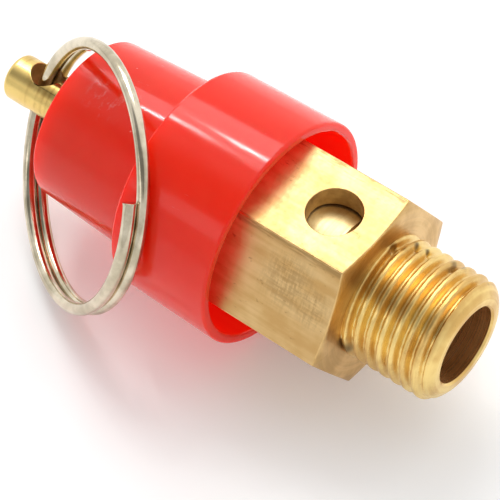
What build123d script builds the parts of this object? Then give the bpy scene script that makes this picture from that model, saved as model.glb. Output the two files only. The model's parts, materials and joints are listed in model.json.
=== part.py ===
from build123d import *
from math import cos, radians, sin
import os

# Spring-loaded pressure relief valve with a pull ring, in millimetres.
# X runs along the valve towards its inlet, Z points up out of a vent hole, and the
# origin is on the axis at the hexagon's shoulder, where the inlet thread ends.
# Outlines are written as (x, radius) corners and turned about X.

# Hexagon and inlet nipple, thread size G 1/4.
HEX_FLATS = 18.0
HEX_CORNER_RADIUS = HEX_FLATS / 3**0.5
HEX_LENGTH = 14.6
HEX_FACE_RADIUS = 8.72
HEX_CHAMFER_LENGTH = 0.35
NIPPLE_LENGTH = 10.0
NIPPLE_END_RADIUS = 5.25
THREAD_RADIUS = 6.58
THREAD_PITCH = 1.337
THREAD_DEPTH = 0.86
THREAD_MOUTH = 1.1
THREAD_ROOT = 0.2
THREAD_TURNS = 6
FIRST_ROOT_X = 1.0
LEAD_IN_X = 9.4
LEAD_IN_RADIUS = 5.85
INLET_RADIUS = 4.15
INLET_CHAMFER = 0.2
CUT_MARGIN = 1.0

# Barrel, spring chamber and seat.
BARREL_RADIUS = 7.75
BARREL_END_X = -34.0
CHAMBER_RADIUS = 7.0
CHAMBER_X = -2.2
SEAT_X = -3.0
SEAT_TOP_RADIUS = 4.6
SEAT_FOOT_RADIUS = 5.1
VENT_RADIUS = 2.75
VENT_X = -5.26

# Stepped cap.
RIM_X = -12.04
RIM_RADIUS = 12.22
RIM_INNER_RADIUS = 11.18
STEP_X = -23.88
STEP_OUTER_RADIUS = 11.94
STEP_INNER_RADIUS = 9.51
STEP_WALL = 1.18
NOSE_X = -36.9
NOSE_RADIUS = 8.79
NOSE_WALL = 1.3
CAP_BORE_RADIUS = 7.8
CAP_EDGE_RADIUS = 0.3
STEM_HOLE_RADIUS = 2.8

# Disc holder with its rubber seal.
HOLDER_RADIUS = 6.8
HOLDER_FRONT_X = -3.5
HOLDER_SHOULDER_X = -9.6
HOLDER_BACK_X = -11.2
HOLDER_BOSS_RADIUS = 3.6
HOLDER_EDGE = 0.4
SEAL_RADIUS = 5.2
SEAL_THICKNESS = 2.0
SEAL_GAP = 0.03
TAIL_HOLE_X = -7.0
TAIL_RADIUS = 2.0

# Stem, with the cross hole that the ring hangs in.
STEM_RADIUS = 2.5
STEM_END_X = -46.9
STEM_CHAMFER = 0.35
CROSS_HOLE_X = -43.0
CROSS_HOLE_RADIUS = 1.9
CROSS_HOLE_TILT = 25.0

# Spring, its washer, the adjusting screw and the ring that locks it.
SPRING_RADIUS = 4.6
SPRING_WIRE_RADIUS = 0.65
SPRING_TURNS = 6.0
SPRING_END_X = -25.6
WASHER_THICKNESS = 1.0
WASHER_RADIUS = 6.8
WASHER_HOLE_RADIUS = 2.8
SCREW_RADIUS = 6.95
SCREW_LENGTH = 4.5
SCREW_HOLE_RADIUS = 2.7
SCREW_EDGE = 0.35
LOCK_RING_LENGTH = 2.4
SLOT_WIDTH = 1.4
SLOT_DEPTH = 1.3

# Split ring: a close coil of round wire, folded back beside the cap.
RING_RADIUS = 13.14
RING_WIRE_RADIUS = 0.65
RING_PITCH = 1.348
RING_TURNS = 1.72
RING_FOLD = 29.2
RING_LEAN = 3.2
RING_END_ANGLE = 23.0
RING_REACH = 13.31
RING_SIDE = -1.5
RING_DROP = 1.3

SMALL_GAP = 0.02


def nipple_outline():
    """Half outline of the threaded nipple, from the shoulder to the inlet's mouth."""
    corners = [(-HEX_CHAMFER_LENGTH, 0), (-HEX_CHAMFER_LENGTH, THREAD_RADIUS)]
    for turn in range(THREAD_TURNS):
        middle = FIRST_ROOT_X + turn * THREAD_PITCH
        corners.append((middle - THREAD_MOUTH / 2, THREAD_RADIUS))
        corners.append((middle - THREAD_ROOT / 2, THREAD_RADIUS - THREAD_DEPTH))
        corners.append((middle + THREAD_ROOT / 2, THREAD_RADIUS - THREAD_DEPTH))
        corners.append((middle + THREAD_MOUTH / 2, THREAD_RADIUS))
    last_crest = FIRST_ROOT_X + (THREAD_TURNS - 0.5) * THREAD_PITCH
    corners.append((last_crest, THREAD_RADIUS))
    corners.append((LEAD_IN_X, LEAD_IN_RADIUS))
    corners.append((NIPPLE_LENGTH, NIPPLE_END_RADIUS))
    corners.append((NIPPLE_LENGTH, 0))
    return corners


def threaded_ring_outline(back_x, front_x):
    """Half outline of a screwed ring in the barrel, bored for the stem."""
    return [
        (back_x, SCREW_HOLE_RADIUS),
        (back_x, SCREW_RADIUS - SCREW_EDGE),
        (back_x + SCREW_EDGE, SCREW_RADIUS),
        (front_x - SCREW_EDGE, SCREW_RADIUS),
        (front_x, SCREW_RADIUS - SCREW_EDGE),
        (front_x, SCREW_HOLE_RADIUS),
    ]


os.makedirs("parts", exist_ok=True)

# Brass body: hexagon with a turned front, threaded nipple and plain barrel.
inside_outline = [
    (NIPPLE_LENGTH + CUT_MARGIN, 0),
    (NIPPLE_LENGTH + CUT_MARGIN, INLET_RADIUS + INLET_CHAMFER),
    (NIPPLE_LENGTH, INLET_RADIUS + INLET_CHAMFER),
    (NIPPLE_LENGTH - INLET_CHAMFER, INLET_RADIUS),
    (SEAT_X, INLET_RADIUS),
    (SEAT_X, SEAT_TOP_RADIUS),
    (CHAMBER_X, SEAT_FOOT_RADIUS),
    (CHAMBER_X, CHAMBER_RADIUS),
    (BARREL_END_X - CUT_MARGIN, CHAMBER_RADIUS),
    (BARREL_END_X - CUT_MARGIN, 0),
]
with BuildPart() as valve_body:
    with BuildSketch(Plane.YZ.offset(-HEX_LENGTH)):
        RegularPolygon(HEX_FLATS / 2, 6, major_radius=False)
    extrude(amount=HEX_LENGTH)
    with BuildSketch(Plane.XY):
        Polygon(
            (-HEX_LENGTH, 0),
            (-HEX_LENGTH, HEX_FACE_RADIUS),
            (-HEX_LENGTH + HEX_CHAMFER_LENGTH, HEX_CORNER_RADIUS),
            (-HEX_CHAMFER_LENGTH, HEX_CORNER_RADIUS),
            (0, HEX_FACE_RADIUS),
            (0, 0),
            align=None,
        )
    revolve(axis=Axis.X, mode=Mode.INTERSECT)
    with BuildSketch(Plane.XY):
        Polygon(*nipple_outline(), align=None)
        Polygon(
            (-HEX_LENGTH / 2, 0),
            (-HEX_LENGTH / 2, BARREL_RADIUS),
            (BARREL_END_X + SCREW_EDGE, BARREL_RADIUS),
            (BARREL_END_X, BARREL_RADIUS - SCREW_EDGE),
            (BARREL_END_X, 0),
            align=None,
        )
    revolve(axis=Axis.X)
    with BuildSketch(Plane.XY):
        Polygon(*inside_outline, align=None)
    revolve(axis=Axis.X, mode=Mode.SUBTRACT)
    with BuildSketch(Plane.XY):
        with Locations((VENT_X, 0)):
            Circle(VENT_RADIUS)
    extrude(amount=HEX_FLATS, both=True, mode=Mode.SUBTRACT)
valve_body.part.label = "valve_body"
export_step(valve_body.part, "parts/valve_body.step")

# Red moulded cap: a wide skirt over the hexagon's back end and a narrow nose.
with BuildPart() as cap:
    with BuildSketch(Plane.XY) as cap_section:
        Polygon(
            (RIM_X, RIM_INNER_RADIUS),
            (RIM_X, RIM_RADIUS),
            (STEP_X, STEP_OUTER_RADIUS),
            (STEP_X, STEP_INNER_RADIUS),
            (NOSE_X, NOSE_RADIUS),
            (NOSE_X, STEM_HOLE_RADIUS),
            (NOSE_X + NOSE_WALL, STEM_HOLE_RADIUS),
            (NOSE_X + NOSE_WALL, CAP_BORE_RADIUS),
            (STEP_X + STEP_WALL, CAP_BORE_RADIUS),
            (STEP_X + STEP_WALL, STEP_OUTER_RADIUS - STEP_WALL),
            align=None,
        )
        fillet(cap_section.vertices(), radius=CAP_EDGE_RADIUS)
    revolve(axis=Axis.X)
cap.part.label = "cap"
export_step(cap.part, "parts/cap.step")

# Rubber disc that closes on the seat.
with BuildPart() as seal_disc:
    with BuildSketch(Plane.YZ.offset(SEAT_X - SEAL_THICKNESS)):
        Circle(SEAL_RADIUS)
    extrude(amount=SEAL_THICKNESS - SMALL_GAP)
seal_disc.part.label = "seal_disc"
export_step(seal_disc.part, "parts/seal_disc.step")

# Brass holder that carries the disc, with a boss that centres the spring.
pocket_x = SEAT_X - SEAL_THICKNESS - SMALL_GAP
with BuildPart() as disc_holder:
    with BuildSketch(Plane.XY):
        Polygon(
            (HOLDER_FRONT_X, SEAL_RADIUS + SEAL_GAP),
            (HOLDER_FRONT_X, HOLDER_RADIUS - HOLDER_EDGE),
            (HOLDER_FRONT_X - HOLDER_EDGE, HOLDER_RADIUS),
            (HOLDER_SHOULDER_X + HOLDER_EDGE, HOLDER_RADIUS),
            (HOLDER_SHOULDER_X, HOLDER_RADIUS - HOLDER_EDGE),
            (HOLDER_SHOULDER_X, HOLDER_BOSS_RADIUS),
            (HOLDER_BACK_X + HOLDER_EDGE, HOLDER_BOSS_RADIUS),
            (HOLDER_BACK_X, HOLDER_BOSS_RADIUS - HOLDER_EDGE),
            (HOLDER_BACK_X, TAIL_RADIUS + SMALL_GAP),
            (TAIL_HOLE_X, TAIL_RADIUS + SMALL_GAP),
            (TAIL_HOLE_X, 0),
            (pocket_x, 0),
            (pocket_x, SEAL_RADIUS + SEAL_GAP),
            align=None,
        )
    revolve(axis=Axis.X)
disc_holder.part.label = "disc_holder"
export_step(disc_holder.part, "parts/disc_holder.step")

# Brass stem from the disc holder out through the cap's nose.
cross_hole_axis = Vector(0, sin(radians(CROSS_HOLE_TILT)), cos(radians(CROSS_HOLE_TILT)))
hinge = Plane(origin=(CROSS_HOLE_X, 0, 0), x_dir=(1, 0, 0), z_dir=cross_hole_axis)
with BuildPart() as stem:
    with BuildSketch(Plane.XY):
        Polygon(
            (TAIL_HOLE_X - SMALL_GAP, 0),
            (TAIL_HOLE_X - SMALL_GAP, TAIL_RADIUS),
            (HOLDER_BACK_X - SMALL_GAP, TAIL_RADIUS),
            (HOLDER_BACK_X - SMALL_GAP, STEM_RADIUS),
            (STEM_END_X + STEM_CHAMFER, STEM_RADIUS),
            (STEM_END_X, STEM_RADIUS - STEM_CHAMFER),
            (STEM_END_X, 0),
            align=None,
        )
    revolve(axis=Axis.X)
    with BuildSketch(hinge):
        Circle(CROSS_HOLE_RADIUS)
    extrude(amount=2 * STEM_RADIUS, both=True, mode=Mode.SUBTRACT)
stem.part.label = "stem"
export_step(stem.part, "parts/stem.step")

# Steel coil spring between the holder's shoulder and the washer.
spring_start = HOLDER_SHOULDER_X - SPRING_WIRE_RADIUS - SMALL_GAP
spring_length = spring_start - (SPRING_END_X + SPRING_WIRE_RADIUS + SMALL_GAP)
spring_plane = Plane(origin=(spring_start, 0, 0), x_dir=(0, 0, 1), z_dir=(-1, 0, 0))
spring_path = spring_plane * Helix(spring_length / SPRING_TURNS, spring_length, SPRING_RADIUS)
with BuildPart() as spring:
    with BuildSketch(Plane(origin=spring_path @ 0, z_dir=spring_path % 0)):
        Circle(SPRING_WIRE_RADIUS)
    sweep(path=spring_path, is_frenet=True)
spring.part.label = "spring"
export_step(spring.part, "parts/spring.step")

# Steel washer behind the spring.
with BuildPart() as spring_washer:
    with BuildSketch(Plane.YZ.offset(SPRING_END_X - WASHER_THICKNESS)):
        Circle(WASHER_RADIUS)
        Circle(WASHER_HOLE_RADIUS, mode=Mode.SUBTRACT)
    extrude(amount=WASHER_THICKNESS)
spring_washer.part.label = "spring_washer"
export_step(spring_washer.part, "parts/spring_washer.step")

# Slotted adjusting screw, which sets the spring's load.
screw_front_x = SPRING_END_X - WASHER_THICKNESS - SMALL_GAP
screw_back_x = screw_front_x - SCREW_LENGTH
with BuildPart() as adjusting_screw:
    with BuildSketch(Plane.XY):
        Polygon(*threaded_ring_outline(screw_back_x, screw_front_x), align=None)
    revolve(axis=Axis.X)
    with BuildSketch(Plane.YZ.offset(screw_back_x)):
        Rectangle(2 * CHAMBER_RADIUS, SLOT_WIDTH)
    extrude(amount=SLOT_DEPTH, mode=Mode.SUBTRACT)
adjusting_screw.part.label = "adjusting_screw"
export_step(adjusting_screw.part, "parts/adjusting_screw.step")

# Slotted lock ring, tightened against the adjusting screw.
lock_front_x = screw_back_x - SMALL_GAP
lock_back_x = lock_front_x - LOCK_RING_LENGTH
with BuildPart() as lock_ring:
    with BuildSketch(Plane.XY):
        Polygon(*threaded_ring_outline(lock_back_x, lock_front_x), align=None)
    revolve(axis=Axis.X)
    with BuildSketch(Plane.YZ.offset(lock_back_x)):
        Rectangle(SLOT_WIDTH, 2 * CHAMBER_RADIUS)
    extrude(amount=SLOT_DEPTH, mode=Mode.SUBTRACT)
lock_ring.part.label = "lock_ring"
export_step(lock_ring.part, "parts/lock_ring.step")

# Steel split ring through the stem's cross hole, its coils lying side by side.
fold_dir = hinge.x_dir.rotate(Axis(hinge.origin, hinge.z_dir), -RING_FOLD)
fold = Plane(origin=hinge.origin, x_dir=fold_dir, z_dir=hinge.z_dir)
ring_axis = fold.y_dir.rotate(Axis(fold.origin, fold.x_dir), -RING_LEAN)
ring_start = fold.x_dir.rotate(Axis(fold.origin, ring_axis), -RING_END_ANGLE)
ring_centre = fold.from_local_coords(Vector(RING_REACH, RING_SIDE, -RING_DROP))
ring_plane = Plane(origin=ring_centre, x_dir=ring_start, z_dir=ring_axis)
ring_path = ring_plane * Helix(RING_PITCH, RING_PITCH * RING_TURNS, RING_RADIUS)
with BuildPart() as split_ring:
    with BuildSketch(Plane(origin=ring_path @ 0, z_dir=ring_path % 0)):
        Circle(RING_WIRE_RADIUS)
    sweep(path=ring_path, is_frenet=True)
split_ring.part.label = "split_ring"
export_step(split_ring.part, "parts/split_ring.step")
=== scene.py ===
import json
import math

import bmesh
import bpy
from mathutils import Matrix, Vector


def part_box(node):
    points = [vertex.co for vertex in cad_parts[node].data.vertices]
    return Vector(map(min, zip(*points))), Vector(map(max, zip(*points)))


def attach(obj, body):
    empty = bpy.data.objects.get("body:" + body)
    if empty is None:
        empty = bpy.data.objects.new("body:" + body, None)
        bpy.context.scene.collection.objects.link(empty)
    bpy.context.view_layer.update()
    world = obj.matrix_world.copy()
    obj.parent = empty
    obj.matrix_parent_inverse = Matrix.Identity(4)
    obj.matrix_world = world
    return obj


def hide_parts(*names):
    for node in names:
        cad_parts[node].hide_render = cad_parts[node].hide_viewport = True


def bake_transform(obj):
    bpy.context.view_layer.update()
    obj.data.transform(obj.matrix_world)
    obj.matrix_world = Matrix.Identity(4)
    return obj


# Pressure relief valve. X runs along the valve out of its inlet, Z out of its upper vent
# hole, and the origin is on the axis at the hexagon's shoulder. Lengths are in millimetres
# until a mesh, a lamp or the camera is made, and the scene is in metres.
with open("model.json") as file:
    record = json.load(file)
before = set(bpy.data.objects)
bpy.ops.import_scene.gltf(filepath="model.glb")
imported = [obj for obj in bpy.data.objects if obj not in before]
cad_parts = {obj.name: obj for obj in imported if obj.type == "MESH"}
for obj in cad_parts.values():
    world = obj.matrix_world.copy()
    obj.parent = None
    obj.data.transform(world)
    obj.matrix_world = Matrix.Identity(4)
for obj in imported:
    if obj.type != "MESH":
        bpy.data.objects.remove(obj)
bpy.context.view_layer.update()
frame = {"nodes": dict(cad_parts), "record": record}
MM = 0.001
FULL_TURN = 2 * math.pi
ALONG = Vector((1, 0, 0))
UPWARD = Vector((0, 0, 1))
CENTRE = Vector((0, 0, 0))

body_low, body_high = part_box("valve_body")
cap_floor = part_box("cap")[0].z
stem_low, stem_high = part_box("stem")
spring_low, spring_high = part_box("spring")
mounts = {mount["name"]: mount for mount in frame["record"]["mounts"]}
joints = {joint["name"]: joint for joint in frame["record"]["behaviour"]["joints"]}

# Brass body.
HEX_HALF = body_high.z / MM
HEX_CORNER = HEX_HALF / math.cos(math.radians(30))
HEX_BACK = -14.6
FACE_RADIUS = 8.72
FACE_CHAMFER = 0.35
BARREL_RADIUS = 7.75
BARREL_BACK = body_low.x / MM
BARREL_CHAMFER = 0.35
BORE_RADIUS = mounts["inlet_bore"]["dims"]["r_mm"]
BORE_CHAMFER = 0.2
SEAT_X = -3.0
SEAT_TOP_RADIUS = 4.6
SEAT_FOOT_RADIUS = 5.1
CHAMBER_X = -2.2
CHAMBER_RADIUS = 7.0
VENT_X = -5.26
VENT_RADIUS = 2.75
EDGE_WEAR = 0.1
CUT_MARGIN = 1.0

# Threaded nipple: one right-hand groove, with the dents left by handling.
NIPPLE_END = body_high.x / MM
CREST_RADIUS = mounts["inlet_thread"]["dims"]["r_mm"] - 0.06
THREAD_PITCH = 1.337
THREAD_DEPTH = 0.66
THREAD_START = 1.06
RUN_OUT_X = -0.15
RUN_OUT_LENGTH = 0.5
CREST_SHARE = 0.2
ROOT_SHARE = 0.12
LEAD_IN_X = 8.5
LEAD_IN_LIP = 5.0
BURIED = 0.6
NICKS = [
    # place along the axis, degrees around from +Y, length, width, depth (below 0 for a burr)
    (0.30, 74, 0.28, 0.9, 0.55),
    (0.95, 72, 0.22, 0.7, 0.45),
    (1.75, 55, 0.18, 0.8, 0.35),
    (3.00, 56, 0.18, 0.6, 0.32),
    (5.95, 50, 0.30, 1.3, 0.40),
    (8.55, 68, 0.14, 1.6, 0.22),
    (0.12, 190, 0.13, 2.0, 0.40),
    (0.50, 174, 0.22, 0.5, -0.12),
]

# Stem and pull ring.
STEM_RADIUS = stem_high.z / MM
STEM_BACK = stem_low.x / MM
STEM_FRONT = stem_high.x / MM
TAIL_RADIUS = 2.0
TAIL_SHOULDER = -11.22
STEM_ROUND = 0.55
HOLE_ROUND = 0.12
HINGE = Vector(joints["ring_swing"]["pos_m"])
HINGE_AXIS = -Vector(joints["ring_swing"]["axis"])
CROSS_HOLE_RADIUS = 1.9
WIRE_RADIUS = 0.65
RING_RADIUS = 13.14
RING_PITCH = 1.348
RING_TURNS = 1.705
RING_FOLD = 29.2
RING_LEAN = 3.2
RING_END_ANGLE = 23.0
RING_OFFSET = (13.31, -1.5, -1.3)
WIRE_FLARE = 0.05
FLARE_LENGTH = 0.5

# Coil spring.
SPRING_WIRE_RADIUS = 0.65
SPRING_TURNS = 6

# Inside of the cap's skirt, where its wall has a painted glow, and the places of stains, scuffs
# and darker dents.
SKIRT_BORE_RADIUS = 11.2
SKIRT_FLOOR_X = -23.4
FIRST_STAIN = (-5.4, -7.0, 5.6)
SECOND_STAIN = (-2.4, -7.5, 4.6)
NOSE_SCUFF = (-31.5, -1.5, 9.0)
DARKER_CUT = 0.3

# Where marks on the flats begin and where they are full, by the distance from the axis
# straight up (the top flat), to a side, or up along a slanting flat from its middle.
TOP_FLAT = (8.8, 8.95)
SIDE_FLAT = (4.9, 5.1)
EDGE_SCUFFS = (3.6, 5.2)
SHADE_LINE = (4.3, 4.8)

# How far a point may be from a plane or a cylinder, and still count as on it.
PLANE_SLACK = 0.01
CURVE_SLACK = 0.006


# ---------------------------------------------------------------- meshes
def keep(name, bm):
    """A scene object from a bmesh."""
    bmesh.ops.recalc_face_normals(bm, faces=bm.faces)
    mesh = bpy.data.meshes.new(name)
    bm.to_mesh(mesh)
    bm.free()
    obj = bpy.data.objects.new(name, mesh)
    bpy.context.scene.collection.objects.link(obj)
    return obj


def join_rings(bm, one, two):
    """Faces between two rings of vertices, either of which may be a single point."""
    count = max(len(one), len(two))
    for k in range(count):
        j = (k + 1) % count
        corners = []
        for vert in (one[k % len(one)], one[j % len(one)], two[j % len(two)], two[k % len(two)]):
            if vert not in corners:
                corners.append(vert)
        if len(corners) > 2:
            bm.faces.new(corners)


def lathe(name, outline, segments=256):
    """A closed solid from (x, radius) corners, turned about X."""
    bm = bmesh.new()
    rings = []
    for x, radius in outline:
        ring = []
        for k in range(segments if radius > 0 else 1):
            angle = FULL_TURN * k / segments
            place = Vector((x, radius * math.cos(angle), radius * math.sin(angle)))
            ring.append(bm.verts.new(place * MM))
        rings.append(ring)
    for one, two in zip(rings, rings[1:] + rings[:1]):
        join_rings(bm, one, two)
    return keep(name, bm)


def arc(x, radius, size, start, end, steps=8):
    """(x, radius) points of an arc about a centre, its angles in degrees from +X."""
    points = []
    for k in range(steps + 1):
        angle = math.radians(start + (end - start) * k / steps)
        points.append((x + size * math.cos(angle), radius + size * math.sin(angle)))
    return points


def boolean(target, tool, operation):
    """target becomes target (operation) tool, and the tool goes away."""
    step = target.modifiers.new("step", "BOOLEAN")
    step.operation = operation
    step.solver = "EXACT"
    step.object = tool
    bpy.context.view_layer.update()
    graph = bpy.context.evaluated_depsgraph_get()
    mesh = bpy.data.meshes.new_from_object(target.evaluated_get(graph))
    target.modifiers.clear()
    target.data = mesh
    bpy.data.objects.remove(tool)


def soften(obj, width, wanted, segments=3, angle=25):
    """Rounds the sharp edges whose middle passes wanted(x, distance from the axis)."""
    bm = bmesh.new()
    bm.from_mesh(obj.data)
    bmesh.ops.remove_doubles(bm, verts=bm.verts, dist=1e-7)
    bmesh.ops.dissolve_degenerate(bm, edges=bm.edges, dist=1e-7)
    edges = []
    for edge in bm.edges:
        if len(edge.link_faces) != 2 or edge.calc_face_angle(0) < math.radians(angle):
            continue
        middle = (edge.verts[0].co + edge.verts[1].co) / 2 / MM
        if wanted(middle.x, math.hypot(middle.y, middle.z)):
            edges.append(edge)
    bmesh.ops.bevel(
        bm,
        geom=edges,
        offset=width * MM,
        offset_type="OFFSET",
        segments=segments,
        profile=0.5,
        affect="EDGES",
        clamp_overlap=False,
    )
    bm.to_mesh(obj.data)
    bm.free()


def plane(normal, distance):
    """Gives the normal at a point in millimetres that lies on a plane, or None."""

    def test(point):
        return normal if abs(point.dot(normal) - distance) < PLANE_SLACK else None

    return test


def cylinder(origin, axis, radius, side):
    """The same for a cylinder, whose normal points out (side 1) or in (side -1)."""

    def test(point):
        spoke = point - origin
        spoke = spoke - axis * spoke.dot(axis)
        return spoke.normalized() * side if abs(spoke.length - radius) < CURVE_SLACK else None

    return test


def shade(obj, surfaces, angle=35, facing=0.7, turn=25):
    """Smooth shading, exact on the faces that lie wholly on one of the given surfaces.

    Their neighbours within `turn` degrees meet them without a crease."""
    mesh = obj.data
    for face in mesh.polygons:
        face.use_smooth = True
    mesh.set_sharp_from_angle(angle=math.radians(angle))
    points = [vert.co / MM for vert in mesh.vertices]
    normals = [Vector((0, 0, 0)) for loop in mesh.loops]
    exact = {}
    for face in mesh.polygons:
        for surface in surfaces:
            found = [surface(points[v]) for v in face.vertices]
            if None in found or found[0].dot(face.normal) < facing:
                continue
            for loop, vert, normal in zip(face.loop_indices, face.vertices, found):
                normals[loop] = normal
                exact.setdefault(vert, []).append(normal)
            break
    close = math.cos(math.radians(turn))
    for face in mesh.polygons:
        for loop, vert in zip(face.loop_indices, face.vertices):
            near = [normal for normal in exact.get(vert, []) if normal.dot(face.normal) > close]
            if near and normals[loop].length == 0:
                normals[loop] = near[0]
    mesh.normals_split_custom_set(normals)


# ---------------------------------------------------------------- brass body
def groove_share(wave):
    """Depth of the groove from 0 on the crest to 1 at the root, for wave from 0 to 1."""
    share = min(1.0, max(0.0, (wave - CREST_SHARE) / (1 - CREST_SHARE - ROOT_SHARE)))
    return 0.5 * share + 0.5 * share * share * (3 - 2 * share)


def thread_radius(x, angle):
    """Outer radius of the nipple at a place along it and around it."""
    phase = ((x - THREAD_START) / THREAD_PITCH - angle / FULL_TURN) % 1.0
    depth = THREAD_DEPTH * groove_share(1.0 - abs(2.0 * phase - 1.0))
    degrees = math.degrees(angle)
    radius = CREST_RADIUS - depth * min(1.0, max(0.0, (x - RUN_OUT_X) / RUN_OUT_LENGTH))
    if x > LEAD_IN_X:
        share = (x - LEAD_IN_X) / (NIPPLE_END - LEAD_IN_X)
        radius = min(radius, LEAD_IN_LIP + (CREST_RADIUS - LEAD_IN_LIP) * (1 - share**1.7) ** 0.8)
    for along, around, length, width, cut in NICKS:
        away = ((x - along) / length) ** 2
        away += (math.radians(degrees - around) * CREST_RADIUS / width) ** 2
        radius -= cut * math.exp(-away * 2) if away < 4 else 0
    return radius


def nipple(around=320, along=210):
    """Closed solid of the threaded nipple, from inside the hexagon to its mouth."""
    bm = bmesh.new()
    rings = []
    for i in range(along + 1):
        x = -BURIED + (NIPPLE_END + BURIED) * i / along
        ring = []
        for k in range(around):
            angle = FULL_TURN * k / around
            radius = thread_radius(max(x, 0.0), angle)
            place = Vector((x, radius * math.cos(angle), radius * math.sin(angle)))
            ring.append(bm.verts.new(place * MM))
        rings.append(ring)
    for one, two in zip(rings, rings[1:]):
        join_rings(bm, one, two)
    bm.faces.new(rings[0])
    bm.faces.new(rings[-1])
    return keep("nipple", bm)


def hexagon():
    """Hexagonal bar along the axis, with flats above and below, too long at each end."""
    bm = bmesh.new()
    back, front = [], []
    for k in range(6):
        angle = math.radians(60 * k)
        y, z = HEX_CORNER * math.cos(angle), HEX_CORNER * math.sin(angle)
        back.append(bm.verts.new(Vector((HEX_BACK - CUT_MARGIN, y, z)) * MM))
        front.append(bm.verts.new(Vector((CUT_MARGIN, y, z)) * MM))
    bm.faces.new(back)
    bm.faces.new(front)
    join_rings(bm, back, front)
    return keep("valve_body_threaded", bm)


def make_body(turned, flat, bore, vent_side, shoulder):
    """The whole brass body, with its thread, bore, chamber and vent holes.

    It takes one material for each kind of surface."""
    solid = hexagon()
    wide = HEX_CORNER + CUT_MARGIN / 2
    deep = FACE_CHAMFER * (wide - FACE_RADIUS) / (HEX_CORNER - FACE_RADIUS)
    face_cone = [
        (HEX_BACK, 0),
        (HEX_BACK, FACE_RADIUS),
        (HEX_BACK + deep, wide),
        (-deep, wide),
        (0, FACE_RADIUS),
        (0, 0),
    ]
    boolean(solid, lathe("face_cone", face_cone), "INTERSECT")
    barrel = [
        (BARREL_BACK, 0),
        (BARREL_BACK, BARREL_RADIUS - BARREL_CHAMFER),
        (BARREL_BACK + BARREL_CHAMFER, BARREL_RADIUS),
        (HEX_BACK / 2, BARREL_RADIUS),
        (HEX_BACK / 2, 0),
    ]
    boolean(solid, lathe("barrel", barrel, 192), "UNION")
    boolean(solid, nipple(), "UNION")
    inside = [
        (NIPPLE_END + CUT_MARGIN, 0),
        (NIPPLE_END + CUT_MARGIN, BORE_RADIUS + BORE_CHAMFER),
        (NIPPLE_END, BORE_RADIUS + BORE_CHAMFER),
        (NIPPLE_END - BORE_CHAMFER, BORE_RADIUS),
        (CHAMBER_X + CUT_MARGIN, BORE_RADIUS),
        (SEAT_X, BORE_RADIUS),
        (SEAT_X, SEAT_TOP_RADIUS),
        (CHAMBER_X, SEAT_FOOT_RADIUS),
        (CHAMBER_X, CHAMBER_RADIUS),
        (BARREL_BACK - CUT_MARGIN, CHAMBER_RADIUS),
        (BARREL_BACK - CUT_MARGIN, 0),
    ]
    boolean(solid, lathe("inside", inside, 192), "DIFFERENCE")
    reach = HEX_HALF + CUT_MARGIN
    vent_outline = [(-reach, 0), (-reach, VENT_RADIUS), (reach, VENT_RADIUS), (reach, 0)]
    vent = lathe("vent", vent_outline, 120)
    upright = Matrix.Rotation(math.pi / 2, 4, "Y")
    vent.data.transform(Matrix.Translation((VENT_X * MM, 0, 0)) @ upright)
    boolean(solid, vent, "DIFFERENCE")
    soften(solid, EDGE_WEAR, lambda x, distance: distance > CHAMBER_RADIUS and x < PLANE_SLACK)

    flats = []
    for k in range(6):
        angle = math.radians(60 * k)
        flats.append(plane(Vector((0, math.sin(angle), math.cos(angle))), HEX_HALF))
    bores = [
        cylinder(CENTRE, ALONG, BORE_RADIUS, -1),
        cylinder(CENTRE, ALONG, CHAMBER_RADIUS, -1),
    ]
    vents = [cylinder(Vector((VENT_X, 0, 0)), UPWARD, VENT_RADIUS, -1)]
    shoulders = [plane(ALONG, 0), plane(-ALONG, -HEX_BACK)]
    barrels = [cylinder(CENTRE, ALONG, BARREL_RADIUS, 1)]
    shade(solid, flats + bores + vents + shoulders + barrels)

    # Painted shade: the hexagon's chamfers and worn edges take the shoulder's darker brass too.
    groups = (flats, bores, vents, shoulders)
    for material in (turned, flat, bore, vent_side, shoulder):
        solid.data.materials.append(material)
    points = [vert.co / MM for vert in solid.data.vertices]
    for face in solid.data.polygons:
        corners = [points[v] for v in face.vertices]
        if min(math.hypot(corner.y, corner.z) for corner in corners) > BARREL_RADIUS + EDGE_WEAR:
            face.material_index = len(groups)
        for index, surfaces in enumerate(groups, 1):
            if any(all(surface(corner) for corner in corners) for surface in surfaces):
                face.material_index = index
    return solid


# ---------------------------------------------------------------- stem and ring
def make_stem(outer, bored):
    """Turned stem with a rounded end and the cross hole that the ring hangs in."""
    outline = [
        (STEM_FRONT, 0),
        (STEM_FRONT, TAIL_RADIUS),
        (TAIL_SHOULDER, TAIL_RADIUS),
        (TAIL_SHOULDER, STEM_RADIUS),
    ]
    outline += arc(STEM_BACK + STEM_ROUND, STEM_RADIUS - STEM_ROUND, STEM_ROUND, 90, 180)
    outline.append((STEM_BACK, 0))
    solid = lathe("stem_drilled", outline, 128)
    reach = 2 * STEM_RADIUS
    hole = [(-reach, 0), (-reach, CROSS_HOLE_RADIUS), (reach, CROSS_HOLE_RADIUS), (reach, 0)]
    drill = lathe("drill", hole, 96)
    turn = ALONG.rotation_difference(HINGE_AXIS).to_matrix().to_4x4()
    drill.data.transform(Matrix.Translation(HINGE) @ turn)
    boolean(solid, drill, "DIFFERENCE")
    hole_end = HINGE.x / MM + CROSS_HOLE_RADIUS + HOLE_ROUND
    soften(solid, HOLE_ROUND, lambda x, distance: x < hole_end, angle=35)
    side = cylinder(CENTRE, ALONG, STEM_RADIUS, 1)
    hole_side = cylinder(HINGE / MM, HINGE_AXIS, CROSS_HOLE_RADIUS, -1)
    shade(solid, [side, hole_side])
    solid.data.materials.append(outer)
    solid.data.materials.append(bored)
    points = [vert.co / MM for vert in solid.data.vertices]
    for face in solid.data.polygons:
        face.material_index = 1 if all(hole_side(points[v]) for v in face.vertices) else 0
    return solid


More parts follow.
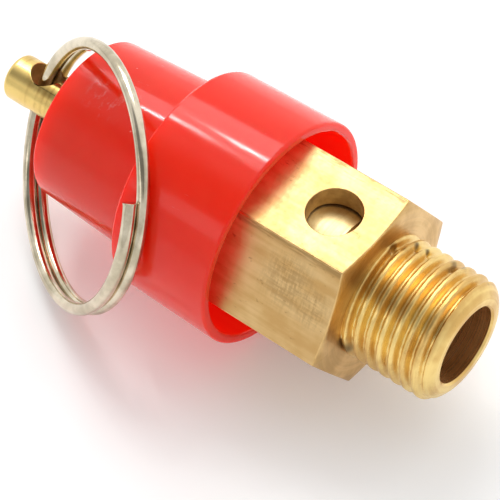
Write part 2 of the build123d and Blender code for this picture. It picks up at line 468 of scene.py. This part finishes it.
def turned_about(vector, axis, degrees):
    """A vector turned about an axis."""
    return Matrix.Rotation(math.radians(degrees), 3, axis) @ vector


def coil(name, stations, centre, start, axis, radius, pitch, sides=36):
    """Coiled wire from (distance along it, wire radius) stations, with flat ends."""
    side = axis.cross(start)
    bm = bmesh.new()
    rings = []
    for distance, wire_radius in stations:
        turn = distance / radius
        spoke = start * math.cos(turn) + side * math.sin(turn)
        middle = centre + spoke * radius + axis * pitch * turn / FULL_TURN
        ring = []
        for k in range(sides):
            angle = FULL_TURN * k / sides
            place = middle + spoke * (wire_radius * math.cos(angle))
            place += axis * (wire_radius * math.sin(angle))
            ring.append(bm.verts.new(place * MM))
        rings.append(ring)
    for one, two in zip(rings, rings[1:]):
        join_rings(bm, one, two)
    bm.faces.new(rings[0])
    bm.faces.new(rings[-1])
    obj = keep(name, bm)
    for face in obj.data.polygons:
        face.use_smooth = True
    obj.data.set_sharp_from_angle(angle=math.radians(50))
    return obj


def make_ring(material, steps=420):
    """Split ring of round wire, its two cut ends slightly flared."""
    fold_x = turned_about(ALONG, HINGE_AXIS, -RING_FOLD)
    fold_y = HINGE_AXIS.cross(fold_x)
    axis = turned_about(fold_y, fold_x, -RING_LEAN)
    start = turned_about(fold_x, axis, -RING_END_ANGLE)
    offset_x, offset_y, offset_z = RING_OFFSET
    centre = HINGE / MM + fold_x * offset_x + fold_y * offset_y + HINGE_AXIS * offset_z
    length = FULL_TURN * RING_RADIUS * RING_TURNS
    flared = WIRE_RADIUS + WIRE_FLARE
    end = [(0.0, 0.6 * flared), (0.0, 0.94 * flared), (0.03, flared), (0.12, flared)]
    end += [(FLARE_LENGTH * 0.5, WIRE_RADIUS + WIRE_FLARE * 0.4), (FLARE_LENGTH, WIRE_RADIUS)]
    stations = list(end)
    for k in range(1, steps):
        distance = FLARE_LENGTH + (length - 2 * FLARE_LENGTH) * k / steps
        stations.append((distance, WIRE_RADIUS))
    stations += [(length - distance, radius) for distance, radius in reversed(end)]
    obj = coil("split_ring_wire", stations, centre, start, axis, RING_RADIUS, RING_PITCH)
    obj.data.materials.append(material)
    return obj


def make_spring(material, steps=360):
    """Coil spring between the disc holder and the washer."""
    reach = (spring_high.x - spring_low.x) / MM - 2 * SPRING_WIRE_RADIUS
    radius = spring_high.z / MM - SPRING_WIRE_RADIUS
    front = Vector((spring_high.x / MM - SPRING_WIRE_RADIUS, 0, 0))
    length = FULL_TURN * radius * SPRING_TURNS
    stations = [(length * k / steps, SPRING_WIRE_RADIUS) for k in range(steps + 1)]
    pitch = reach / SPRING_TURNS
    obj = coil("spring_wound", stations, front, UPWARD, -ALONG, radius, pitch, sides=20)
    obj.data.materials.append(material)
    return obj


# ---------------------------------------------------------------- materials
class Shader:
    """A small builder for a procedural material."""

    def __init__(self, name):
        self.material = bpy.data.materials.new(name)
        self.material.use_nodes = True
        self.tree = self.material.node_tree
        self.surface = self.tree.nodes["Principled BSDF"]
        self.place = self.add("ShaderNodeTexCoord").outputs["Object"]

    def add(self, kind, **settings):
        made = self.tree.nodes.new(kind)
        for key, value in settings.items():
            setattr(made, key, value)
        return made

    def put(self, socket, value):
        if isinstance(value, bpy.types.NodeSocket):
            self.tree.links.new(value, socket)
        else:
            socket.default_value = value

    def finish(self, **values):
        """Sets the surface's inputs, written with _ for a space."""
        for key, value in values.items():
            self.put(self.surface.inputs[key.replace("_", " ")], value)
        return self.material

    def math(self, operation, a, b=0.0):
        made = self.add("ShaderNodeMath", operation=operation)
        self.put(made.inputs[0], a)
        self.put(made.inputs[1], b)
        return made.outputs[0]

    def plus(self, a, b):
        return self.math("ADD", a, b)

    def times(self, a, b):
        return self.math("MULTIPLY", a, b)

    def scaled(self, vector, scale):
        made = self.add("ShaderNodeMapping")
        self.put(made.inputs["Vector"], vector)
        made.inputs["Scale"].default_value = scale
        return made.outputs[0]

    def noise(self, vector, scale, detail=4.0, rough=0.5):
        made = self.add("ShaderNodeTexNoise")
        self.put(made.inputs["Vector"], vector)
        made.inputs["Scale"].default_value = scale
        made.inputs["Detail"].default_value = detail
        made.inputs["Roughness"].default_value = rough
        return made.outputs["Fac"]

    def ramp(self, value, low, high, to_low=0.0, to_high=1.0):
        made = self.add("ShaderNodeMapRange", interpolation_type="SMOOTHSTEP")
        self.put(made.inputs["Value"], value)
        made.inputs["From Min"].default_value = low
        made.inputs["From Max"].default_value = high
        made.inputs["To Min"].default_value = to_low
        made.inputs["To Max"].default_value = to_high
        return made.outputs[0]

    def mix(self, factor, a, b):
        made = self.add("ShaderNodeMix", data_type="RGBA")
        self.put(made.inputs[0], factor)
        self.put(made.inputs[6], a)
        self.put(made.inputs[7], b)
        return made.outputs[2]

    def split(self):
        """The three coordinates of the place on the piece."""
        parts = self.add("ShaderNodeSeparateXYZ")
        self.put(parts.inputs[0], self.place)
        return parts.outputs

    def radius(self):
        """Distance from the valve's axis."""
        x, y, z = self.split()
        squares = self.plus(self.times(y, y), self.times(z, z))
        return self.math("SQRT", squares)

    def around(self):
        """(along the axis, radius, a little of the turn), for marks left by turning."""
        x, y, z = self.split()
        join = self.add("ShaderNodeCombineXYZ")
        self.put(join.inputs[0], x)
        self.put(join.inputs[1], self.radius())
        self.put(join.inputs[2], self.times(self.math("ARCTAN2", z, y), 0.0002))
        return join.outputs[0]

    def beyond(self, direction, low, high):
        """0 up to low and 1 from high, in millimetres from the origin along a direction."""
        made = self.add("ShaderNodeVectorMath", operation="DOT_PRODUCT")
        self.put(made.inputs[0], self.place)
        made.inputs[1].default_value = direction
        return self.ramp(made.outputs["Value"], low * MM, high * MM)

    def near(self, point, low, high):
        """1 within low of a point in millimetres and 0 beyond high."""
        away = self.add("ShaderNodeVectorMath", operation="DISTANCE")
        self.put(away.inputs[0], self.place)
        away.inputs[1].default_value = Vector(point) * MM
        return self.ramp(away.outputs["Value"], low * MM, high * MM, 1.0, 0.0)

    def bump(self, height, strength, depth):
        made = self.add("ShaderNodeBump")
        self.put(made.inputs["Height"], height)
        made.inputs["Strength"].default_value = strength
        made.inputs["Distance"].default_value = depth * MM
        return made.outputs[0]


def linear(red, green, blue):
    """A colour picked in sRGB, 0 to 255, as the linear one that a shader takes."""
    out = []
    for value in (red, green, blue):
        share = value / 255
        out.append(share / 12.92 if share <= 0.04045 else ((share + 0.055) / 1.055) ** 2.4)
    return (*out, 1.0)


# Brown of the stains and scuffs on the flats, also used for a painted shade line under one edge.
STAIN_AND_SHADE = linear(148, 116, 70)
PIT = linear(138, 104, 58)
SPECK = linear(140, 104, 58)
DENT_BROWN = linear(70, 54, 30)
SCRATCHED_RED = linear(250, 190, 180)


def drawn_brass():
    """Flats of drawn bar: faint streaks along the bar, stains, rubbed dirt, small pits, and a
    painted shade line under one edge.
    """
    s = Shader("drawn_brass")
    streaks = s.noise(s.scaled(s.place, (160, 3600, 3600)), 1.0, 5.0, 0.65)
    bands = s.noise(s.scaled(s.place, (60, 900, 900)), 1.0, 4.0, 0.55)
    cloud = s.noise(s.place, 300.0, 5.0, 0.6)
    grain = s.noise(s.place, 2400.0, 3.0, 0.6)
    pits = s.ramp(s.noise(s.scaled(s.place, (700, 1500, 1500)), 1.0, 3.0, 0.6), 0.64, 0.74)
    tone = s.plus(s.times(bands, 0.5), s.times(cloud, 0.5))
    colour = s.mix(s.ramp(tone, 0.38, 0.62), linear(202, 162, 102), linear(222, 188, 132))
    lengthwise = s.noise(s.scaled(s.place, (400, 4200, 4200)), 1.0, 3.0, 0.6)
    crosswise = s.noise(s.scaled(s.place, (4200, 900, 900)), 1.0, 3.0, 0.6)
    rubbed = s.plus(s.times(lengthwise, 0.5), s.times(crosswise, 0.5))
    rubbed = s.ramp(s.plus(rubbed, s.times(cloud, 0.5)), 0.62, 0.86)
    patch = s.math("MAXIMUM", s.near(FIRST_STAIN, 1.0, 4.4), s.near(SECOND_STAIN, 0.6, 3.2))
    colour = s.mix(s.times(s.times(rubbed, patch), 0.5), colour, STAIN_AND_SHADE)
    # Painted shade: a dark line under the worn upper edge of the slanting flat on the -Y side.
    up_the_flat = (0, 0.5, math.cos(math.radians(30)))
    wear_and_edge_shade = s.times(s.beyond(up_the_flat, *SHADE_LINE), s.beyond((0, -1, 0), *SIDE_FLAT))
    wear_and_edge_shade = s.times(wear_and_edge_shade, s.ramp(lengthwise, 0.36, 0.56, 0.2, 0.7))
    colour = s.mix(wear_and_edge_shade, colour, STAIN_AND_SHADE)
    # Broken scuffs along the top flat's edge on the +Y side.
    on_top = s.beyond(UPWARD, *TOP_FLAT)
    scuffed = s.times(s.beyond((0, 1, 0), *EDGE_SCUFFS), s.ramp(lengthwise, 0.48, 0.6))
    scuffed = s.times(scuffed, s.ramp(cloud, 0.4, 0.55, 0.1, 0.8))
    colour = s.mix(s.times(scuffed, on_top), colour, STAIN_AND_SHADE)
    colour = s.mix(s.times(pits, 0.5), colour, PIT)
    height = s.plus(s.times(streaks, 0.7), s.times(grain, 0.6))
    height = s.math("SUBTRACT", height, s.times(pits, 0.6))
    return s.finish(
        Base_Color=colour,
        Metallic=0.92,
        Roughness=s.ramp(grain, 0.3, 0.7, 0.36, 0.46),
        Normal=s.bump(height, 0.4, 0.003),
    )


def turned_brass(name, pale, deep, rough, depth=0.004, metal=1.0, darkened=()):
    """Turned brass: fine rings around the axis over a cloudy tone, darker brown around some
    points.
    """
    s = Shader(name)
    around = s.around()
    rings = s.noise(s.scaled(around, (5200, 5200, 300)), 1.0, 5.0, 0.6)
    bands = s.noise(s.scaled(around, (1500, 1500, 200)), 1.0, 3.0, 0.55)
    cloud = s.noise(s.place, 260.0, 4.0, 0.55)
    specks = s.ramp(s.noise(s.place, 1500.0, 3.0, 0.6), 0.64, 0.76)
    tone = s.plus(s.times(bands, 0.35), s.times(cloud, 0.65))
    colour = s.mix(s.ramp(tone, 0.4, 0.6), linear(*deep), linear(*pale))
    colour = s.mix(s.times(specks, 0.3), colour, SPECK)
    # Darker brown around each given point.
    for point, size in darkened:
        darkening = s.times(s.near(point, 0.3 * size, size), s.ramp(cloud, 0.3, 0.5, 0.5, 0.85))
        colour = s.mix(darkening, colour, DENT_BROWN)
    height = s.plus(s.times(rings, 0.7), s.times(bands, 0.6))
    return s.finish(
        Base_Color=colour,
        Metallic=metal,
        Roughness=s.ramp(rings, 0.3, 0.7, rough[0], rough[1]),
        Normal=s.bump(height, 0.6, depth),
    )


def bored_brass():
    """Drilled brass: dull and brown, with scratches along the hole."""
    s = Shader("bored_brass")
    scratches = s.noise(s.scaled(s.place, (120, 2600, 2600)), 1.0, 5.0, 0.6)
    cloud = s.noise(s.place, 420.0, 4.0, 0.6)
    colour = s.mix(s.ramp(cloud, 0.38, 0.64), linear(180, 138, 80), linear(214, 176, 112))
    return s.finish(
        Base_Color=colour,
        Metallic=0.7,
        Roughness=s.ramp(scratches, 0.3, 0.7, 0.34, 0.52),
        Normal=s.bump(scratches, 0.6, 0.006),
    )


def red_plastic():
    """Glossy red moulding, with scuffs on the nose, dust, and a painted glow on its skirt's inner
    wall for light through the skirt.
    """
    s = Shader("red_moulding")
    peel = s.noise(s.place, 420.0, 2.0, 0.5)
    cloud = s.noise(s.place, 140.0, 4.0, 0.5)
    hair = s.ramp(s.noise(s.scaled(s.place, (300, 2600, 2600)), 1.0, 3.0, 0.6), 0.7, 0.76)
    hair = s.times(hair, s.ramp(s.noise(s.place, 90.0, 2.0, 0.5), 0.5, 0.6))
    dust = s.ramp(s.noise(s.place, 1300.0, 1.0, 0.5), 0.8, 0.84)
    scuff = s.ramp(s.noise(s.scaled(s.place, (900, 500, 900)), 1.0, 5.0, 0.7), 0.5, 0.68)
    scuff = s.times(scuff, s.near(NOSE_SCUFF, 0.8, 3.6))
    colour = s.mix(s.ramp(cloud, 0.35, 0.65), linear(250, 42, 18), linear(255, 48, 24))
    # Painted glow: emission on the skirt's inner wall stands in for the light that comes through
    # the skirt.
    painted_glow = s.ramp(s.radius(), SKIRT_BORE_RADIUS * MM, (SKIRT_BORE_RADIUS + 0.1) * MM, 0.2, 0.0)
    in_skirt = s.beyond(ALONG, SKIRT_FLOOR_X, SKIRT_FLOOR_X + 0.6)
    painted_glow = s.times(painted_glow, in_skirt)
    wear_and_edge_shade = s.plus(s.times(hair, 0.25), s.times(scuff, 0.3))
    wear_and_edge_shade = s.plus(wear_and_edge_shade, s.times(dust, 0.5))
    colour = s.mix(wear_and_edge_shade, colour, SCRATCHED_RED)
    rough = s.plus(s.ramp(cloud, 0.3, 0.7, 0.1, 0.13), s.times(wear_and_edge_shade, 0.5))
    height = s.math("SUBTRACT", peel, s.times(hair, 0.3))
    height = s.plus(height, s.times(scuff, 0.5))
    return s.finish(
        Base_Color=colour,
        Roughness=rough,
        IOR=1.5,
        Specular_IOR_Level=0.3,
        Subsurface_Weight=1.0,
        Subsurface_Radius=(1.0, 0.06, 0.05),
        Subsurface_Scale=4.0 * MM,
        # The colour of the painted glow on the skirt's inner wall.
        Emission_Color=linear(255, 30, 14),
        Emission_Strength=painted_glow,
        Normal=s.bump(height, 0.5, 0.02),
    )


def steel(name, pale, deep, rough):
    """Plated or drawn wire with faint marks."""
    s = Shader(name)
    fine = s.noise(s.place, 2600.0, 4.0, 0.6)
    cloud = s.noise(s.place, 320.0, 4.0, 0.55)
    return s.finish(
        Base_Color=s.mix(s.ramp(cloud, 0.35, 0.65), linear(*deep), linear(*pale)),
        Metallic=1.0,
        Roughness=s.ramp(fine, 0.3, 0.7, rough[0], rough[1]),
        Normal=s.bump(fine, 0.3, 0.005),
    )


def rubber():
    """Matt black rubber."""
    s = Shader("seal_rubber")
    fine = s.noise(s.place, 2500.0, 4.0, 0.6)
    return s.finish(
        Base_Color=s.mix(fine, linear(22, 22, 23), linear(44, 43, 42)),
        Roughness=s.ramp(fine, 0.3, 0.7, 0.6, 0.8),
        Normal=s.bump(fine, 0.4, 0.02),
    )


def paper():
    """White studio paper, lit a little from below."""
    s = Shader("paper")
    grain = s.noise(s.place, 40.0)
    return s.finish(
        Base_Color=s.mix(grain, linear(247, 247, 247), linear(250, 250, 250)),
        Roughness=0.85,
        Specular_IOR_Level=0.2,
        Emission_Color=(1.0, 1.0, 1.0, 1.0),
        Emission_Strength=0.12,
    )


# ---------------------------------------------------------------- pieces on their bodies
def paint(node, material):
    """Gives a carried-over CAD node its material."""
    obj = frame["nodes"][node]
    obj.data.materials.clear()
    obj.data.materials.append(material)


def darker_dents():
    """(place, size) of the darker brown in the deeper dents of the thread."""
    spots = []
    for along, around, _, width, cut in NICKS:
        angle = math.radians(around)
        radius = CREST_RADIUS - 0.5 * cut
        point = (along, radius * math.cos(angle), radius * math.sin(angle))
        if cut > DARKER_CUT:
            spots.append((point, 0.6 * width + 0.25))
    return spots


bored = bored_brass()
spring_wire = steel("spring_wire", (190, 190, 188), (150, 150, 150), (0.25, 0.4))
thread_brass = turned_brass(
    "turned_brass", (242, 212, 138), (214, 174, 104), (0.26, 0.38), darkened=darker_dents()
)
bore_brass = turned_brass(
    "bore_brass", (216, 164, 104), (182, 130, 74), (0.22, 0.34), 0.006, metal=0.72
)
# Painted shade: a darker copy of the turned brass, for the shoulder where it faces the shadowed
# floor and for the hexagon's chamfers and edges.
shaded_shoulder_brass = turned_brass("shaded_shoulder_brass", (226, 190, 130), (198, 160, 100), (0.28, 0.4))
body = make_body(thread_brass, drawn_brass(), bore_brass, bored, shaded_shoulder_brass)
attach(body, "valve")
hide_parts("valve_body")

stem_brass = turned_brass("stem_brass", (230, 200, 124), (196, 160, 90), (0.24, 0.27), 0.0004)
stem = make_stem(stem_brass, bored)
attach(stem, "lift")
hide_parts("stem")

ring = make_ring(steel("plated_wire", (222, 211, 188), (184, 173, 148), (0.1, 0.18)))
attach(ring, "ring")
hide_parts("split_ring")

spring = make_spring(spring_wire)
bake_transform(spring)
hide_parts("spring")

holder_brass = turned_brass("holder_brass", (244, 222, 168), (224, 196, 138), (0.4, 0.5), 0.002)
paint("cap", red_plastic())
paint("disc_holder", holder_brass)
paint("seal_disc", rubber())
paint("spring_washer", spring_wire)
paint("adjusting_screw", bored)
paint("lock_ring", bored)

# ---------------------------------------------------------------- studio
FLOOR_SIZE = 6000.0
FLOOR_GAP = 0.02
FRONT_SKY = 0.78
BACK_SKY = 1.15
DARK_SKY = 0.28
BACK_TOWARDS = (-0.2, 1.0, 0.2)
DARK_LOBES = [
    # direction, cosines of the angles where it starts and where it is full
    ((-0.20, -0.50, 0.84), 0.86, 0.95),
    ((0.41, -0.43, 0.80), 0.90, 0.98),
]
FOCAL_LENGTH = 178.58
CAMERA_PLACE = Vector((85.55, -106.21, 193.67))
CAMERA_AZIMUTH = -46.095
CAMERA_ELEVATION = 53.592
CAMERA_ROLL = -6.335


def make_floor():
    """Large sheet of paper just under the cap's rim."""
    place = (0, 0, cap_floor - FLOOR_GAP * MM)
    bpy.ops.mesh.primitive_plane_add(size=FLOOR_SIZE * MM, location=place)
    floor = bpy.context.object
    floor.name = "floor"
    floor.data.materials.append(paper())


def softbox(name, direction, target, distance, width, height, radiance):
    """A rectangular lamp seen from a target point in a direction, all in millimetres."""
    data = bpy.data.lights.new(name, "AREA")
    data.shape = "RECTANGLE"
    data.size = width * MM
    data.size_y = height * MM
    data.energy = radiance * math.pi * width * height * MM * MM
    lamp = bpy.data.objects.new(name, data)
    away = Vector(direction).normalized()
    lamp.location = (Vector(target) + away * distance) * MM
    lamp.rotation_mode = "QUATERNION"
    lamp.rotation_quaternion = (-away).to_track_quat("-Z", "Y")
    bpy.context.scene.collection.objects.link(lamp)


def make_world():
    """Surround that is bright behind the valve, and dim above it and in front."""
    world = bpy.data.worlds.new("studio")
    bpy.context.scene.world = world
    world.use_nodes = True
    tree = world.node_tree
    sky = tree.nodes["Background"]
    direction = tree.nodes.new("ShaderNodeTexCoord").outputs["Generated"]

    def lobe(towards, low, high):
        """1 around a direction and 0 away from it, by the cosine of the angle."""
        dot = tree.nodes.new("ShaderNodeVectorMath")
        dot.operation = "DOT_PRODUCT"
        tree.links.new(direction, dot.inputs[0])
        dot.inputs[1].default_value = Vector(towards).normalized()
        step = tree.nodes.new("ShaderNodeMapRange")
        step.interpolation_type = "SMOOTHSTEP"
        tree.links.new(dot.outputs["Value"], step.inputs["Value"])
        step.inputs["From Min"].default_value = low
        step.inputs["From Max"].default_value = high
        return step.outputs[0]

    front = tree.nodes.new("ShaderNodeMix")
    tree.links.new(lobe(BACK_TOWARDS, -0.3, 0.6), front.inputs[0])
    front.inputs[2].default_value = FRONT_SKY
    front.inputs[3].default_value = BACK_SKY
    brightness = front.outputs[0]
    for towards, low, high in DARK_LOBES:
        darker = tree.nodes.new("ShaderNodeMix")
        tree.links.new(lobe(towards, low, high), darker.inputs[0])
        tree.links.new(brightness, darker.inputs[2])
        darker.inputs[3].default_value = DARK_SKY
        brightness = darker.outputs[0]
    tree.links.new(brightness, sky.inputs["Strength"])
    sky.inputs["Color"].default_value = (1, 1, 1, 1)


def make_camera():
    """A long lens looking from in front of the inlet, to one side and well above."""
    lens = bpy.data.cameras.new("camera")
    lens.lens = FOCAL_LENGTH
    lens.sensor_width = 36.0
    lens.clip_start = 0.005
    lens.clip_end = 20.0
    camera = bpy.data.objects.new("camera", lens)
    bpy.context.scene.collection.objects.link(camera)
    # An unturned camera looks down along Z with Y up the picture.
    turn = Matrix.Rotation(math.radians(CAMERA_AZIMUTH + 90), 4, "Z")
    turn @= Matrix.Rotation(math.radians(90 - CAMERA_ELEVATION), 4, "X")
    turn @= Matrix.Rotation(math.radians(CAMERA_ROLL), 4, "Z")
    camera.matrix_world = Matrix.Translation(CAMERA_PLACE * MM) @ turn
    bpy.context.scene.camera = camera


make_floor()
make_world()
softbox("key_box", (-0.40, 0.45, 0.80), (-10, 0, 5), 380, 200, 200, 3.3)
softbox("fill_box", (-0.33, -0.80, 0.48), (0, 0, 0), 320, 150, 80, 1.0)
# Small lamps, each seen as one glint on the cap.
softbox("rim_glint", (-0.468, 0.355, 0.809), (-14.2, -0.75, 12.15), 250, 12, 5, 120)
softbox("step_glint", (-0.498, 0.208, 0.842), (-22.9, -1.7, 11.85), 250, 12, 4, 110)
softbox("nose_glint", (-0.554, 0.272, 0.787), (-26.6, -1.0, 9.3), 250, 12, 5, 110)
make_camera()
bpy.context.scene.view_settings.view_transform = "Standard"
bpy.context.scene.view_settings.look = "None"
